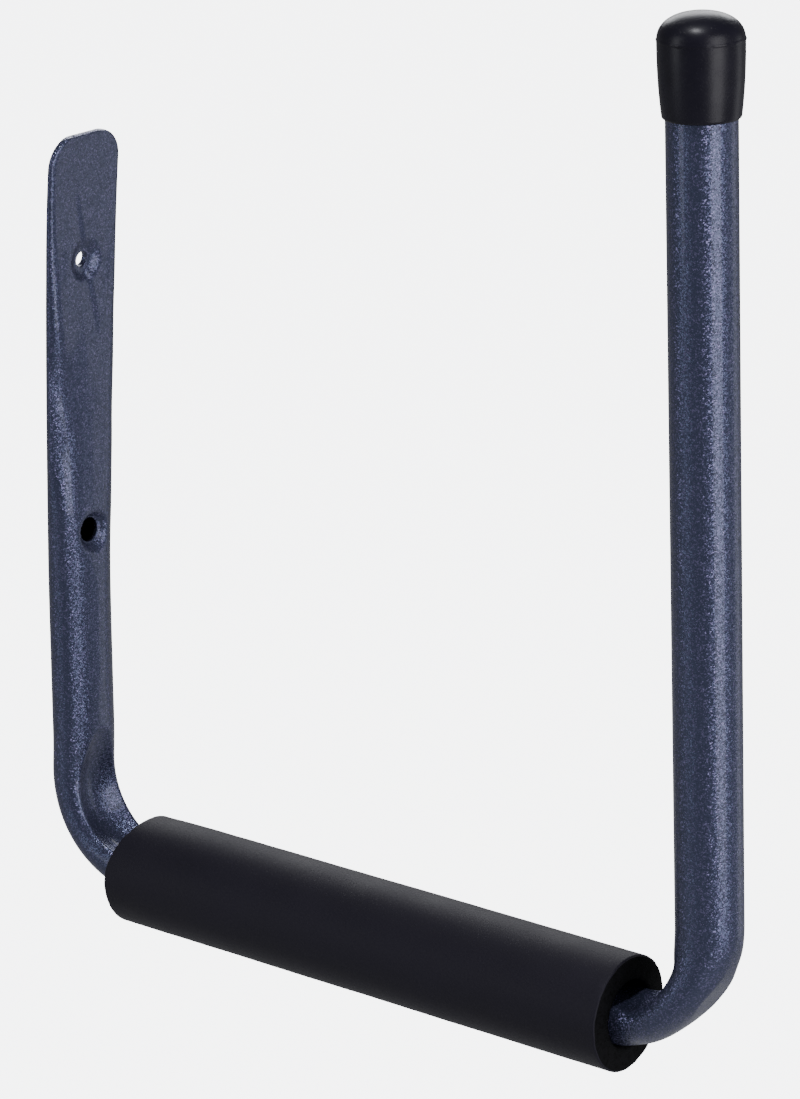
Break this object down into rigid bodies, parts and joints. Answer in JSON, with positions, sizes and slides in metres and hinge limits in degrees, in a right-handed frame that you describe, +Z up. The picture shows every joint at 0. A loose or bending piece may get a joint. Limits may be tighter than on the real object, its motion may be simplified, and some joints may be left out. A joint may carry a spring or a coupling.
{
  "type": "bicycle wall rack",
  "caption": "U-shaped wall hook bent from one steel tube, pressed flat at one end for wall screws, with a foam sleeve on the cradle and a push-on end cap.",
  "frame": {"origin": "on the wall plane, midway between the two screw holes", "axes": "+X away from the wall, +Z up along the pressed end, +Y across the rack"},
  "size_m": [0.33, 0.0444, 0.4232],
  "materials": {
    "painted_tube": "slate blue metallic enamel with fine flake",
    "foam": "matte closed-cell foam",
    "cap_plastic": "satin moulded plastic"
  },
  "bodies": {
    "rack": {"frame_tube": "painted_tube"},
    "sleeve": {"foam_sleeve": "foam"},
    "cap": {"end_cap": "cap_plastic"}
  },
  "joints": [
    {"name": "sleeve_turn", "type": "hinge", "parent": "rack", "child": "sleeve", "pos_m": [0.02071, 0, -0.1909], "axis": [0.9936, 0, 0.1132], "continuous": true},
    {"name": "cap_pull", "type": "slide", "parent": "rack", "child": "cap", "axis": [-0.1305, 0, 0.9914], "range_m": [0, 0.03]}
  ]
}
